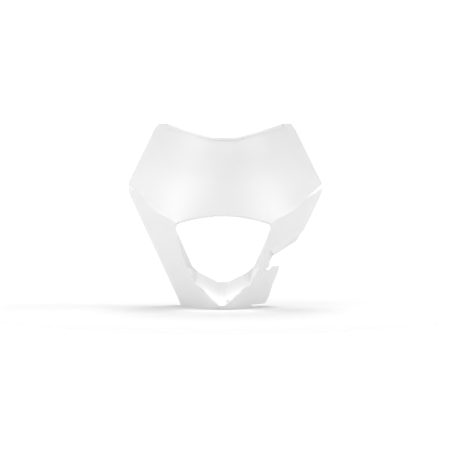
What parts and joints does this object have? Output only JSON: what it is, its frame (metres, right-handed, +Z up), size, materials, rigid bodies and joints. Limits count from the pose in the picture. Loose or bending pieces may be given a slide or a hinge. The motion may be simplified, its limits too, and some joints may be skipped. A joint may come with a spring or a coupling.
{
  "type": "motorcycle headlight mask",
  "caption": "White moulded off-road motorcycle headlight mask: leaning forehead panel, raked cheeks, dished bezel round an open lens hole, and a hose notch in one cheek.",
  "frame": {"origin": "Under the middle of the mask's box, on the underside of the lower tab, at the height of the lower edge.", "axes": "+X to the viewer's right (towards the notched cheek), +Y to the back (towards the fork), +Z up. The mask's front faces -Y."},
  "size_m": [0.295, 0.118, 0.2745],
  "materials": {
    "white_plastic": "satin"
  },
  "bodies": {
    "root": {"headlight_mask": "white_plastic"}
  },
  "joints": []
}
